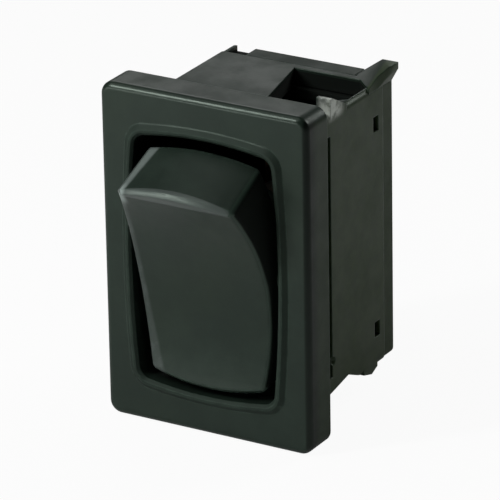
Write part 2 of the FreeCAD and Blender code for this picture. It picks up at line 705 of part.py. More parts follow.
def main():
    os.makedirs("parts", exist_ok=True)
    export("housing", make_housing())
    export("rear_cover", make_rear_cover())
    export("rocker", make_rocker())
    export("plunger", make_plunger())
    export("plunger_spring", make_spring())
    export("contact_lever", make_lever())
    export("common_terminal", make_common_terminal())
    for end, name in ((1, "upper"), (-1, "lower")):
        export(name + "_moving_contact", moving_contact(end))
        export(name + "_fixed_contact", fixed_contact(end))
        export(name + "_terminal", end_terminal(end))


main()
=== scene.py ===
import math

import bpy
from mathutils import Matrix, Vector


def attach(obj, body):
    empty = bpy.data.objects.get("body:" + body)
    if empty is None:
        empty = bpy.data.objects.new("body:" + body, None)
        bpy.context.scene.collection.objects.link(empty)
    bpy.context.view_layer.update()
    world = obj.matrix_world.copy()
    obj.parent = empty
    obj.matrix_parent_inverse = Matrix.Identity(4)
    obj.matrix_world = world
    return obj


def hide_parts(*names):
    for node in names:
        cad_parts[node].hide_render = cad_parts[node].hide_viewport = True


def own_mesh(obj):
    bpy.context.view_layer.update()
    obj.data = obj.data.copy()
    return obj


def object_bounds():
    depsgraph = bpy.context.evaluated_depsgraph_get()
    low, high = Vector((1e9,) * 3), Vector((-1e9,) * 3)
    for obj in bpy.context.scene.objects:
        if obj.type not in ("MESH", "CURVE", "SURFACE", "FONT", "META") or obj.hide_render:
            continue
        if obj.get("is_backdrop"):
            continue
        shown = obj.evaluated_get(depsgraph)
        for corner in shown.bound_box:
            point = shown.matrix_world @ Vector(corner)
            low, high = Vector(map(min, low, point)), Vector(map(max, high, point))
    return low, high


bl_info = {
    "name": "Rocker Switch",
    "version": (1, 0, 0),
    "blender": (4, 5, 0),
    "location": "View3D > Sidebar > Rocker Switch",
    "description": "Dresses the rocker switch's frame with its finished pieces, materials and studio",
    "category": "Object",
}

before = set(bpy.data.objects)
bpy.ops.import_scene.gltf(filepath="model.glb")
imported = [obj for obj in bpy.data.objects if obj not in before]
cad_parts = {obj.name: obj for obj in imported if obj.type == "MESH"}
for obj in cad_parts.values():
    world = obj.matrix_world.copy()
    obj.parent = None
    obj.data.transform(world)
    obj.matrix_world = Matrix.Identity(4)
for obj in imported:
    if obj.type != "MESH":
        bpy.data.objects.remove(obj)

MM = 0.001

# Places and sizes of the inner parts in the stored pose, in millimetres and degrees
PIVOT_Y = -1.2
THROW_DEG = 15.3
LEVER_Y = 8.2
LEVER_T = 0.5
LEVER_FOLD_DEG = 18.0
CONTACT_SPAN = 5.75
PAD_Y = 9.2
PAD_T = 0.8
PLUNGER_FOOT = 4.62
PLUNGER_SHOULDER = 7.82
PLUNGER_R = 1.0
COIL_FOOT = 1.861
COIL_HEIGHT = 2.62
COIL_R = 0.83
COIL_STEPS = 28
WIRE_SIDES = 12

# Turned profiles in millimetres, as (height, radius) from the foot up to the rounded end
PLUNGER_PROFILE = [(-0.8, 0.42), (-0.72, 0.5), (0, 0.5), (0, 0.93), (0.07, PLUNGER_R)]
MOVING_PROFILE = [
    (-LEVER_T - 0.2, 0.44), (-LEVER_T - 0.16, 0.55), (-LEVER_T - 0.03, 0.7), (-LEVER_T, 0.7),
    (-LEVER_T, 0.55), (0, 0.55), (0, 0.94), (0.05, 1.0), (0.34, 1.0), (0.38, 0.97),
]
FIXED_PROFILE = [
    (-PAD_T, 0.49), (-PAD_T + 0.05, 0.55), (0, 0.55), (0, 1.09),
    (0.05, 1.15), (0.31, 1.15), (0.35, 1.11),
]
CONTACT_CROWN = 0.115

# A CAD node's copy: corners nearer than this in metres merge, and smaller angles count as flat
MERGE_DISTANCE = 2e-6
FLAT_DEG = 0.4

# Bands over which a mask on the case or the rocker fades in or out, in millimetres
CASE_SIDE_X = (5.95, 6.25)
CASE_FRONT_Y = (0.0, 0.4)
BEZEL_SIDE_X = (7.73, 7.81)
CAVITY_X = (5.75, 5.95)
CAVITY_Z = (9.9, 10.0)
CAVITY_FRONT_Y = (-2.6, -1.6)
POLISHED_Z = (11.3, 11.5)
POLISHED_Y = (-2.4, -2.2)
LIP_Y = (-2.86, -2.81)
FILLET_X = (7.4, 7.58)
FILLET_Y = (-2.35, -1.27)
WEDGE_X = (5.2, 5.8)
WEDGE_Z = (9.4, 10.1)
WEDGE_FRONT_Y = (2.4, 3.1)
WEDGE_BACK_Y = (3.8, 5.0)
RIDGE_Y = (-6.55, -6.45)
LEFT_RIM_X = (4.38, 4.68)
UPPER_RIM_Z = (4.5, 5.8)
LEFT_SIDE_X = (-3.6, -3.0)
CORNER_X = (-4.1, -3.6)
CORNER_Y = (-6.35, -5.85)

# How far the rocker's left edge bows, in millimetres per square millimetre of height
RIM_BOW = 0.019

# Bands of how far a rocker's face looks sideways, and of how well a rounded normal holds its line
ROCKER_RIM_START = (0.3, 0.55)
ROCKER_RIM_END = (0.8, 0.92)
ROCKER_SIDE = (0.85, 0.97)
EDGE_TURN = (0.975, 0.9995)

# Colours, tints and shine of the plastics
SHINE = 0.3
SHINE_TINT = (0.84, 1.0, 0.88, 1.0)
WARM_TINT = (1.16, 1.06, 0.86)
# Painted sheen: the tint that makes the case's outer sides paler and more olive, as grazing light
# shows them
SIDE_SHEEN_TINT = (2.55, 2.36, 1.26)
# Grey of the highlights painted on the rocker
HIGHLIGHT_GREY = (0.060, 0.072, 0.067)
# Colour of the highlight painted on the top wedge's foot
WEDGE_HIGHLIGHT_GREY = (0.62, 0.66, 0.60)
WHITE = (1.0, 1.0, 1.0, 1.0)

# What a place's colour is times its plastic's, or times the highlight grey, where shade or a
# highlight is painted
CAVITY_PAINTED_SHADE = 0.05
FILLET_PAINTED_SHADE = 0.25
ROCKER_SIDE_PAINTED_SHADE = 0.15
ROCKER_RIM_HIGHLIGHT = 2.1
RIDGE_HIGHLIGHT = 1.4
UPPER_RIM_HIGHLIGHT = 2.4
CORNER_HIGHLIGHT = 4.0

# Least roughness of dull places, and what a polished place's roughness is times its plastic's
CAVITY_DULL = 0.85
ROCKER_SIDE_DULL = 0.8
LIP_DULL = 0.65
POLISHED_BY_USE = 0.66
POLISHED_RIM = 0.68

# Noise patterns, as scale, detail, roughness and the two noise values between which they rise
FLOW_CLOUDS = (230.0, 4.0, 0.6, 0.35, 0.65)
WARM_CLOUDS = (120.0, 2.0, 0.5, 0.45, 0.7)
BLOTCHES = (1100.0, 3.0, 0.6, 0.3, 0.7)
SPECKS = (7000.0, 2.0, 0.5, 0.62, 0.78)
# Breaks up the pale edges, which are partly wear and partly painted highlight
WEAR_AND_GLINT_PATCHES = (900.0, 4.0, 0.65, 0.35, 0.62)
SMUDGES = (420.0, 5.0, 0.62, 0.3, 0.7)
# Breaks up the highlight painted on the wedge's foot
WEDGE_HIGHLIGHT_NOISE = (1500.0, 4.0, 0.65, 0.35, 0.6)
TARNISH = (700.0, 4.0, 0.62, 0.4, 0.68)
FAINT_DUST = (30.0, 3.0, 0.5, 0.3, 0.7)

# Noise of the bumps, as scale, detail and roughness
MOULD_GRAIN = (9500.0, 2.0, 0.55)
MOULD_WAVES = (520.0, 3.0, 0.5)
ROLLING_LINES = (60.0, 3.0, 0.6)

# Input numbers of the Mix node, which repeats its socket names for each kind of value
MIX_NUMBERS = (2, 3)
MIX_COLOURS = (6, 7)

# How far the floor lies under the lowest piece, in metres
FLOOR_GAP = 0.00005

# Camera fitted to the photo: what it looks at in millimetres, then its angles, distance and lens
TARGET = (0.0, 5.0, 0.0)
AZIMUTH_DEG = 30.498
ELEVATION_DEG = 22.167
ROLL_DEG = -0.949
CAMERA_DISTANCE = 327.4
LENS = 351.8
SENSOR_WIDTH = 36.0
SHIFT_X = -0.0294
SHIFT_Y = -0.0395


# Selection and mesh helpers

def deselect():
    if bpy.context.object and bpy.context.object.mode != "OBJECT":
        bpy.ops.object.mode_set(mode="OBJECT")
    bpy.ops.object.select_all(action="DESELECT")


def activate(piece):
    deselect()
    piece.select_set(True)
    bpy.context.view_layer.objects.active = piece


def new_piece(name):
    """Names the object that an operator has just added."""
    piece = bpy.context.object
    piece.name = name
    piece.data.name = name
    return piece


def set_down(piece):
    """Applies the object's place to its mesh, so that its origin is the frame's."""
    activate(piece)
    bpy.ops.object.transform_apply(location=True, rotation=True, scale=True)


def apply_modifiers(piece):
    activate(piece)
    for modifier in list(piece.modifiers):
        bpy.ops.object.modifier_apply(modifier=modifier.name)


def smooth(piece, angle_deg=35.0):
    """Smooths a piece's rounded parts and keeps its large faces flat beside them."""
    activate(piece)
    bpy.ops.object.shade_smooth_by_angle(angle=math.radians(angle_deg))
    even = piece.modifiers.new("even faces", "WEIGHTED_NORMAL")
    even.weight = 100
    even.keep_sharp = True
    apply_modifiers(piece)


def copy_node(node, name):
    """A piece with a CAD node's shape, its corners merged and its flat facets joined."""
    deselect()
    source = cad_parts[node]
    piece = bpy.data.objects.new(name, source.data.copy())
    bpy.context.scene.collection.objects.link(piece)
    piece.data.materials.clear()
    activate(piece)
    bpy.ops.object.mode_set(mode="EDIT")
    bpy.ops.mesh.select_all(action="SELECT")
    bpy.ops.mesh.remove_doubles(threshold=MERGE_DISTANCE)
    bpy.ops.mesh.customdata_custom_splitnormals_clear()
    bpy.ops.mesh.dissolve_limited(angle_limit=math.radians(FLAT_DEG))
    bpy.ops.object.mode_set(mode="OBJECT")
    piece.data.name = name
    return piece


def turned(name, stations_mm, sides=40):
    """A piece turned about its own Z axis, through stations of (height, radius) from its foot."""
    height, radius = (value * MM for value in stations_mm[0])
    deselect()
    bpy.ops.mesh.primitive_circle_add(
        vertices=sides, radius=radius, fill_type="NGON", location=(0, 0, height),
    )
    piece = new_piece(name)
    set_down(piece)
    bpy.ops.object.mode_set(mode="EDIT")
    bpy.ops.mesh.select_all(action="SELECT")
    for station in stations_mm[1:]:
        next_height, next_radius = (value * MM for value in station)
        bpy.ops.mesh.extrude_region_move(
            TRANSFORM_OT_translate={"value": (0, 0, next_height - height)},
        )
        scale = next_radius / radius
        bpy.ops.transform.resize(value=(scale, scale, 1), center_override=(0, 0, next_height))
        height, radius = next_height, next_radius
    bpy.ops.mesh.select_all(action="SELECT")
    bpy.ops.mesh.normals_make_consistent(inside=False)
    bpy.ops.object.mode_set(mode="OBJECT")
    return piece


def crown(foot, radius, rise, steps=5):
    """Stations of a shallow dome that closes a turned piece."""
    ball = (radius**2 + rise**2) / (2 * rise)
    spans = [radius * (1 - (i + 1) / (steps + 0.5)) for i in range(steps)]
    return [(foot + rise - ball + math.sqrt(ball**2 - span**2), span) for span in spans]


def round_tip(foot, radius, step_deg=11):
    """Stations of a half ball that closes a turned piece."""
    angles = [math.radians(step_deg * i) for i in range(1, 8)]
    return [(foot + radius * math.sin(a), radius * math.cos(a)) for a in angles]


def stand(piece, place_mm, axis):
    """Turns a piece drawn about Z to an axis in the YZ plane, and puts its foot in place."""
    piece.rotation_euler = (-math.atan2(axis[1], axis[2]), 0.0, 0.0)
    piece.location = Vector(place_mm) * MM
    set_down(piece)


def ease_edges(piece, width, angle_deg=38.0, segments=2):
    """Rounds a piece's sharp edges a little, as a mould or a tumbling drum leaves them."""
    bevel = piece.modifiers.new("eased edges", "BEVEL")
    bevel.width = width
    bevel.segments = segments
    bevel.limit_method = "ANGLE"
    bevel.angle_limit = math.radians(angle_deg)
    bevel.use_clamp_overlap = False
    bevel.miter_outer = "MITER_ARC"
    apply_modifiers(piece)


def settle(piece, body, material, nodes=()):
    """Gives a finished piece its material, its body and the nodes it stands for."""
    piece.data.materials.clear()
    piece.data.materials.append(material)
    if nodes:
        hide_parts(*nodes)
    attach(piece, body)


# Materials

class Recipe:
    """Short ways to place and join a material's nodes.

    A value is a socket or a plain number or colour. Places are in millimetres.
    """

    def __init__(self, name):
        self.material = bpy.data.materials.new(name)
        self.material.use_nodes = True
        self.nodes = self.material.node_tree.nodes
        self.links = self.material.node_tree.links
        self.shader = self.nodes["Principled BSDF"]
        self.place = self.nodes.new("ShaderNodeTexCoord").outputs["Object"]

    def feed(self, value, socket):
        """Joins a socket to another, or writes a plain number or colour into it."""
        if isinstance(value, bpy.types.NodeSocket):
            self.links.new(value, socket)
        elif isinstance(value, (int, float)):
            socket.default_value = value
        else:
            socket.default_value = (*value, 1.0)

    def calculate(self, operation, *values):
        """One Math node's result."""
        node = self.nodes.new("ShaderNodeMath")
        node.operation = operation
        for value, socket in zip(values, node.inputs):
            self.feed(value, socket)
        return node.outputs[0]

    def product(self, a, b):
        return self.calculate("MULTIPLY", a, b)

    def larger(self, a, b):
        return self.calculate("MAXIMUM", a, b)

    def blend(self, factor, a, b):
        """Mixes two colours."""
        node = self.nodes.new("ShaderNodeMix")
        node.data_type = "RGBA"
        self.feed(factor, node.inputs["Factor"])
        for number, value in zip(MIX_COLOURS, (a, b)):
            self.feed(value, node.inputs[number])
        return node.outputs[2]

    def between(self, factor, a, b):
        """Mixes two numbers."""
        node = self.nodes.new("ShaderNodeMix")
        self.feed(factor, node.inputs["Factor"])
        for number, value in zip(MIX_NUMBERS, (a, b)):
            self.feed(value, node.inputs[number])
        return node.outputs[0]

    def spread(self, value, low, high, at_low, at_high):
        """A value that goes smoothly from at_low to at_high as another goes from low to high."""
        node = self.nodes.new("ShaderNodeMapRange")
        node.interpolation_type = "SMOOTHSTEP"
        ends = {"From Min": low, "From Max": high, "To Min": at_low, "To Max": at_high}
        for name, number in ends.items():
            node.inputs[name].default_value = number
        self.feed(value, node.inputs["Value"])
        return node.outputs["Result"]

    def noise(self, scale, detail, roughness, stretch=None):
        node = self.nodes.new("ShaderNodeTexNoise")
        node.inputs["Scale"].default_value = scale
        node.inputs["Detail"].default_value = detail
        node.inputs["Roughness"].default_value = roughness
        place = self.place
        if stretch:
            mapping = self.nodes.new("ShaderNodeMapping")
            mapping.inputs["Scale"].default_value = stretch
            self.feed(place, mapping.inputs["Vector"])
            place = mapping.outputs["Vector"]
        self.feed(place, node.inputs["Vector"])
        return node.outputs["Fac"]

    def pattern(self, kind, least=0.0, most=1.0):
        """One of the noise patterns listed above, from least to most."""
        scale, detail, roughness, low, high = kind
        return self.spread(self.noise(scale, detail, roughness), low, high, least, most)

    def part(self, vector, name):
        split = self.nodes.new("ShaderNodeSeparateXYZ")
        self.feed(vector, split.inputs["Vector"])
        return split.outputs[name]

    def along(self, name, both_sides=False):
        """How far a point lies along an axis, to either side of the middle where asked."""
        length = self.part(self.place, name)
        return self.calculate("ABSOLUTE", length) if both_sides else length

    def past(self, name, band, both_sides=False, most=1.0):
        """Nought before a band along an axis and all of most beyond it."""
        low, high = (value * MM for value in band)
        return self.spread(self.along(name, both_sides), low, high, 0.0, most)

    def short_of(self, name, band, both_sides=False):
        """One before a band along an axis and nought beyond it."""
        low, high = (value * MM for value in band)
        return self.spread(self.along(name, both_sides), low, high, 1.0, 0.0)

    def sideways(self, band, falling=False):
        """Nought to one, or back, over a band of how far a face looks to the left or right."""
        normal = self.nodes.new("ShaderNodeTexCoord").outputs["Normal"]
        turn = self.calculate("ABSOLUTE", self.part(normal, "X"))
        ends = (1.0, 0.0) if falling else (0.0, 1.0)
        return self.spread(turn, *band, *ends)

    def rounded_normal(self, radius):
        node = self.nodes.new("ShaderNodeBevel")
        node.samples = 6
        node.inputs["Radius"].default_value = radius
        return node.outputs["Normal"]

    def edges(self, radius):
        """One along sharp edges and nought on flats, from how far the rounded normal turns."""
        node = self.nodes.new("ShaderNodeVectorMath")
        node.operation = "DOT_PRODUCT"
        self.feed(self.rounded_normal(radius), node.inputs[0])
        self.feed(self.nodes.new("ShaderNodeNewGeometry").outputs["Normal"], node.inputs[1])
        return self.spread(node.outputs["Value"], *EDGE_TURN, 1.0, 0.0)

    def bump(self, height, strength, distance, under):
        """A normal that follows a height on top of the normal under it."""
        node = self.nodes.new("ShaderNodeBump")
        node.inputs["Strength"].default_value = strength
        node.inputs["Distance"].default_value = distance
        self.feed(height, node.inputs["Height"])
        self.feed(under, node.inputs["Normal"])
        return node.outputs["Normal"]


def shade(colour, factor):
    return tuple(min(1.0, c * factor) for c in colour[:3])


def tint(colour, factors):
    return tuple(c * f for c, f in zip(colour, factors))


def side_walls(r):
    """One on the case's outer sides, a part of that on the bezel's and nought elsewhere, where a
    paler olive sheen is painted.
    """
    outer = r.past("X", CASE_SIDE_X, both_sides=True)
    case = r.product(outer, r.past("Y", CASE_FRONT_Y))
    return r.larger(case, r.past("X", BEZEL_SIDE_X, both_sides=True, most=0.5))


def wedge_foot(r):
    """One on the foot of the top corner wedge, where a pale highlight is painted."""
    deep = r.product(r.past("Y", WEDGE_FRONT_Y), r.short_of("Y", WEDGE_BACK_Y))
    corner = r.product(r.past("X", WEDGE_X), r.past("Z", WEDGE_Z))
    return r.product(deep, corner)


def left_rim_highlight(r):
    """One along the rocker's bowed left edge, where a highlight is painted, and nought on the rest of
    it.
    """
    height = r.along("Z")
    bow = r.product(r.product(height, height), RIM_BOW / MM)
    out = r.calculate("SUBTRACT", bow, r.along("X"))
    low, high = (value * MM for value in LEFT_RIM_X)
    return r.spread(out, low, high, 0.0, 1.0)


def mark_bezel(r, body, dull, colour, roughness):
    """Polished top and bottom rims, a duller lip, a painted highlight on the top wedge's foot and
    painted shade on the right fillet.
    """
    polished = r.product(r.past("Z", POLISHED_Z, both_sides=True), r.short_of("Y", POLISHED_Y))
    dull = r.between(polished, dull, roughness * POLISHED_RIM)
    dull = r.larger(dull, r.product(r.short_of("Y", LIP_Y), LIP_DULL))
    # Painted highlight, broken up by noise, on the top wedge's foot
    wedge_highlight = r.product(wedge_foot(r), r.pattern(WEDGE_HIGHLIGHT_NOISE, least=0.35))
    body = r.blend(wedge_highlight, body, WEDGE_HIGHLIGHT_GREY)
    # Painted shade and dark reflection along the bezel's right front fillet
    fillet = r.product(r.past("X", FILLET_X), r.short_of("Y", FILLET_Y))
    return r.blend(fillet, body, shade(colour, FILLET_PAINTED_SHADE)), dull


def mark_cavity(r, body, dull, colour, roughness):
    """Painted shade inside the case, which is also made duller."""
    section = r.product(
        r.short_of("X", CAVITY_X, both_sides=True), r.short_of("Z", CAVITY_Z, both_sides=True),
    )
    inside = r.product(section, r.past("Y", CAVITY_FRONT_Y))
    # Painted shade: the inside is made much darker
    body = r.blend(inside, body, shade(colour, CAVITY_PAINTED_SHADE))
    return body, r.larger(dull, r.product(inside, CAVITY_DULL))


def mark_rocker(r, body, dull, colour, roughness):
    """Painted highlights on the ridge, the left rim, the left corner and the side rims, and painted
    shade on the sides; the ridge is also polished.
    """
    # Painted highlight along the ridge, which is also polished
    ridge = r.short_of("Y", RIDGE_Y)
    body = r.blend(r.product(ridge, 0.8), body, shade(HIGHLIGHT_GREY, RIDGE_HIGHLIGHT))
    dull = r.between(ridge, dull, roughness * POLISHED_BY_USE)
    # Painted highlight along the left rim, broken into patches and brighter at its upper end
    patches = r.larger(r.pattern(WEAR_AND_GLINT_PATCHES, least=0.15), 0.6)
    body = r.blend(r.product(left_rim_highlight(r), patches), body, HIGHLIGHT_GREY)
    upper = r.product(left_rim_highlight(r), r.past("Z", UPPER_RIM_Z))
    body = r.blend(upper, body, shade(HIGHLIGHT_GREY, UPPER_RIM_HIGHLIGHT))
    # Painted highlight on the left corner of the ridge
    corner = r.product(r.short_of("X", CORNER_X), r.short_of("Y", CORNER_Y))
    body = r.blend(corner, body, shade(HIGHLIGHT_GREY, CORNER_HIGHLIGHT))
    # Painted highlights on the left and right rims, paler still on the left
    rims = r.product(r.sideways(ROCKER_RIM_START), r.sideways(ROCKER_RIM_END, falling=True))
    body = r.blend(r.product(rims, 0.9), body, shade(colour, ROCKER_RIM_HIGHLIGHT))
    body = r.blend(r.product(rims, r.short_of("X", LEFT_SIDE_X)), body, HIGHLIGHT_GREY)
    # Painted shade on the rocker's sides
    sides = r.sideways(ROCKER_SIDE)
    body = r.blend(sides, body, shade(colour, ROCKER_SIDE_PAINTED_SHADE))
    return body, r.larger(dull, r.product(sides, ROCKER_SIDE_DULL))


def moulded_plastic(name, colour, roughness, edge_wear_and_glint, edge_radius, walls=None, marks=()):
    """Thermoplastic from a spark-eroded mould: fine grain, flow clouds, specks, and pale edges that
    are partly wear and partly painted highlight.

    Its edges are painted pale by the given amount, partly as wear and partly as highlight, the side
    tint is a painted sheen on the case's outer sides, and marks are the functions that add what one
    piece alone has, painted shade and highlights among it.
    """
    r = Recipe(name)
    body = r.blend(r.pattern(FLOW_CLOUDS), shade(colour, 0.88), shade(colour, 1.16))
    body = r.blend(r.pattern(WARM_CLOUDS, most=0.45), body, tint(colour, WARM_TINT))
    if walls:
        # Painted sheen on the case's outer sides
        body = r.blend(side_walls(r), body, tint(colour, walls))
    body = r.blend(r.pattern(BLOTCHES, most=0.3), body, shade(colour, 0.7))
    body = r.blend(r.pattern(SPECKS, most=0.3), body, shade(colour, 1.7))
    # Pale edges, partly wear and partly painted highlight
    edge_patches = r.product(r.edges(edge_radius), r.pattern(WEAR_AND_GLINT_PATCHES, least=0.15))
    pale_edges = r.product(edge_patches, edge_wear_and_glint)
    body = r.blend(pale_edges, body, shade(colour, 3.0))
    dull = r.pattern(SMUDGES, least=roughness - 0.04, most=roughness + 0.07)
    dull = r.between(pale_edges, dull, roughness * POLISHED_BY_USE)
    for mark in marks:
        body, dull = mark(r, body, dull, colour, roughness)
    r.feed(body, r.shader.inputs["Base Color"])
    r.feed(dull, r.shader.inputs["Roughness"])
    r.shader.inputs["Specular IOR Level"].default_value = SHINE
    r.shader.inputs["Specular Tint"].default_value = SHINE_TINT
    rounded = r.rounded_normal(edge_radius)
    grain = r.bump(r.noise(*MOULD_GRAIN), strength=0.6, distance=0.000006, under=rounded)
    waves = r.bump(r.noise(*MOULD_WAVES), strength=0.2, distance=0.000008, under=grain)
    r.feed(waves, r.shader.inputs["Normal"])
    return r.material


def rolled_metal(name, colour, roughness, line_stretch, tarnish):
    """Strip metal with fine rolling lines along its length, and a cloudy tarnish."""
    r = Recipe(name)
    lines = r.noise(*ROLLING_LINES, stretch=line_stretch)
    cloud = r.pattern(TARNISH)
    streaks = r.spread(lines, 0.3, 0.7, 0.0, 1.0)
    bright = r.blend(streaks, shade(colour, 0.92), shade(colour, 1.06))
    r.feed(r.blend(cloud, bright, tarnish), r.shader.inputs["Base Color"])
    r.shader.inputs["Metallic"].default_value = 1.0
    dull = r.spread(cloud, 0.0, 1.0, roughness, roughness + 0.16)
    r.feed(dull, r.shader.inputs["Roughness"])
    rounded = r.rounded_normal(0.00005)
    rolled = r.bump(lines, strength=0.4, distance=0.000002, under=rounded)
    r.feed(rolled, r.shader.inputs["Normal"])
    return r.material


def white_floor(name, shine, mirror_shine):
    """A pale floor that the camera sees white and that still takes the object's shadow."""
    r = Recipe(name)
    pale = r.blend(r.pattern(FAINT_DUST), (0.83, 0.83, 0.83), (0.86, 0.86, 0.86))
    r.feed(pale, r.shader.inputs["Base Color"])
    r.shader.inputs["Roughness"].default_value = 0.9
    r.shader.inputs["Specular IOR Level"].default_value = 0.1
    glow = r.nodes.new("ShaderNodeEmission")
    glow.inputs["Color"].default_value = WHITE
    seen = r.nodes.new("ShaderNodeLightPath").outputs
    mirrored = r.larger(seen["Is Glossy Ray"], seen["Is Transmission Ray"])
    straight = r.product(seen["Is Camera Ray"], shine)
    mix = r.nodes.new("ShaderNodeMixShader")
    whole = r.calculate("ADD", straight, r.product(mirrored, mirror_shine))
    r.feed(whole, mix.inputs["Fac"])
    r.feed(r.shader.outputs["BSDF"], mix.inputs[1])
    r.feed(glow.outputs["Emission"], mix.inputs[2])
    r.feed(mix.outputs["Shader"], r.nodes["Material Output"].inputs["Surface"])
    return r.material


# Settings that a user would change

class PlasticSettings(bpy.types.PropertyGroup):
    housing_colour: bpy.props.FloatVectorProperty(
        name="Housing colour", description="Colour of the moulded housing and cover",
        subtype="COLOR", size=3, min=0.0, max=1.0, default=(0.0122, 0.0208, 0.0154),
    )
    rocker_colour: bpy.props.FloatVectorProperty(
        name="Rocker colour", description="Colour of the rocker's plastic",
        subtype="COLOR", size=3, min=0.0, max=1.0, default=(0.0155, 0.0250, 0.0190),
    )
    case_edge: bpy.props.FloatProperty(
        name="Case edges", description="Rounding of the housing's sharp edges in its shading",
        default=0.00012, min=0.0, unit="LENGTH", precision=5,
    )
    rocker_edge: bpy.props.FloatProperty(
        name="Rocker edges", description="Rounding of the rocker's edges in its shading",
        default=0.0003, min=0.0, unit="LENGTH", precision=5,
    )


class MetalSettings(bpy.types.PropertyGroup):
    brass_colour: bpy.props.FloatVectorProperty(
        name="Brass colour", description="Colour of the terminals", subtype="COLOR",
        size=3, min=0.0, max=1.0, default=(0.71, 0.53, 0.26),
    )
    copper_colour: bpy.props.FloatVectorProperty(
        name="Copper colour", description="Colour of the contact lever", subtype="COLOR",
        size=3, min=0.0, max=1.0, default=(0.72, 0.38, 0.24),
    )
    wire: bpy.props.FloatProperty(
        name="Spring wire", description="Diameter of the plunger spring's wire",
        default=0.00022, min=0.00005, unit="LENGTH", precision=5,
    )
    turns: bpy.props.IntProperty(
        name="Spring turns", description="Turns of the plunger spring", default=5, min=2, max=12,
    )


class StudioSettings(bpy.types.PropertyGroup):
    key: bpy.props.FloatProperty(
        name="Top light", description="Power of the large soft light above the switch",
        default=0.052, min=0.0, unit="POWER",
    )
    rear: bpy.props.FloatProperty(
        name="Rear light", description="Power of the soft light behind the switch",
        default=0.048, min=0.0, unit="POWER",
    )
    side: bpy.props.FloatProperty(
        name="Side light", description="Power of the soft light at the right rear",
        default=0.070, min=0.0, unit="POWER",
    )
    front: bpy.props.FloatProperty(
        name="Front light", description="Power of the soft light at the front left",
        default=0.098, min=0.0, unit="POWER",
    )
    glint: bpy.props.FloatProperty(
        name="Narrow light",
        description="Power of the narrow light whose glints run along the edges",
        default=0.108, min=0.0, unit="POWER",
    )
    room: bpy.props.FloatProperty(
        name="Room", description="Strength of the pale room all round", default=0.015, min=0.0,
    )


# Pieces

class SWITCH_OT_housing(bpy.types.Operator):
    """Finishes the housing, moulded in one piece with its bezel"""

    bl_idname = "switch.housing"
    bl_label = "Housing"

    def execute(self, context):
        settings = context.scene.switch_plastic
        plastic = moulded_plastic(
            "dark moulded housing plastic", settings.housing_colour, roughness=0.42, edge_wear_and_glint=0.7,
            edge_radius=settings.case_edge, walls=SIDE_SHEEN_TINT, marks=(mark_bezel, mark_cavity),
        )
        piece = copy_node("housing", "housing_shell")
        smooth(piece)
        settle(piece, "housing", plastic, ["housing"])
        return {"FINISHED"}


class SWITCH_OT_rear_cover(bpy.types.Operator):
    """Finishes the rear cover with its hooks"""

    bl_idname = "switch.rear_cover"
    bl_label = "Rear cover"

    def execute(self, context):
        settings = context.scene.switch_plastic
        plastic = moulded_plastic(
            "dark moulded cover plastic", shade(settings.housing_colour, 0.85), roughness=0.5,
            edge_wear_and_glint=0.4, edge_radius=settings.case_edge, walls=SIDE_SHEEN_TINT, marks=(mark_cavity,),
        )
        piece = copy_node("rear_cover", "rear_cover_plate")
        smooth(piece)
        settle(piece, "housing", plastic, ["rear_cover"])
        return {"FINISHED"}


class SWITCH_OT_rocker(bpy.types.Operator):
    """Finishes the rocker"""

    bl_idname = "switch.rocker"
    bl_label = "Rocker"

    def execute(self, context):
        settings = context.scene.switch_plastic
        plastic = moulded_plastic(
            "satin rocker plastic", settings.rocker_colour, roughness=0.36, edge_wear_and_glint=0.8,
            edge_radius=settings.rocker_edge, marks=(mark_rocker,),
        )
        piece = copy_node("rocker", "rocker_cap")
        smooth(piece, angle_deg=50.0)
        settle(piece, "rocker", plastic, ["rocker"])
        return {"FINISHED"}


def plunger_axis():
    tilt = math.radians(THROW_DEG)
    return (0.0, math.cos(tilt), math.sin(tilt))


def plunger_point(along):
    """The point on the plunger's axis that lies so many millimetres from the rocker's pivot."""
    axis = plunger_axis()
    return (0.0, PIVOT_Y + along * axis[1], along * axis[2])


class SWITCH_OT_plunger(bpy.types.Operator):
    """Finishes the plunger and winds its spring"""

    bl_idname = "switch.plunger"
    bl_label = "Plunger and spring"

    def execute(self, context):
        white = moulded_plastic(
            "natural plunger plastic", (0.62, 0.60, 0.54), roughness=0.34, edge_wear_and_glint=0.2,
            edge_radius=0.00005,
        )
        length = PLUNGER_SHOULDER - PLUNGER_FOOT
        profile = PLUNGER_PROFILE + [(length, PLUNGER_R)] + round_tip(length, PLUNGER_R)
        piece = turned("plunger_pin", profile, sides=48)
        stand(piece, plunger_point(PLUNGER_FOOT), plunger_axis())
        smooth(piece)
        settle(piece, "plunger", white, ["plunger"])
        self.wind_spring(context.scene.switch_metal)
        return {"FINISHED"}

    def wind_spring(self, settings):
        steel = rolled_metal(
            "drawn spring steel", (0.60, 0.60, 0.62), roughness=0.24,
            line_stretch=(40.0, 40.0, 40.0), tarnish=(0.40, 0.38, 0.36),
        )
        deselect()
        bpy.ops.mesh.primitive_circle_add(
            vertices=WIRE_SIDES, radius=settings.wire / 2, location=(COIL_R * MM, 0, 0),
            rotation=(math.radians(90), 0, 0),
        )
        coil = new_piece("plunger_coil")
        set_down(coil)
        screw = coil.modifiers.new("winding", "SCREW")
        screw.screw_offset = COIL_HEIGHT * MM / settings.turns
        screw.iterations = settings.turns
        screw.steps = screw.render_steps = COIL_STEPS
        apply_modifiers(coil)
        bpy.ops.object.mode_set(mode="EDIT")
        bpy.ops.mesh.select_all(action="SELECT")
        bpy.ops.mesh.remove_doubles(threshold=1e-7)
        bpy.ops.mesh.fill_holes(sides=0)
        bpy.ops.mesh.normals_make_consistent(inside=False)
        bpy.ops.object.mode_set(mode="OBJECT")
        stand(coil, plunger_point(COIL_FOOT), plunger_axis())
        smooth(coil, angle_deg=60.0)
        settle(coil, "rocker", steel, ["plunger_spring"])
        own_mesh(coil)


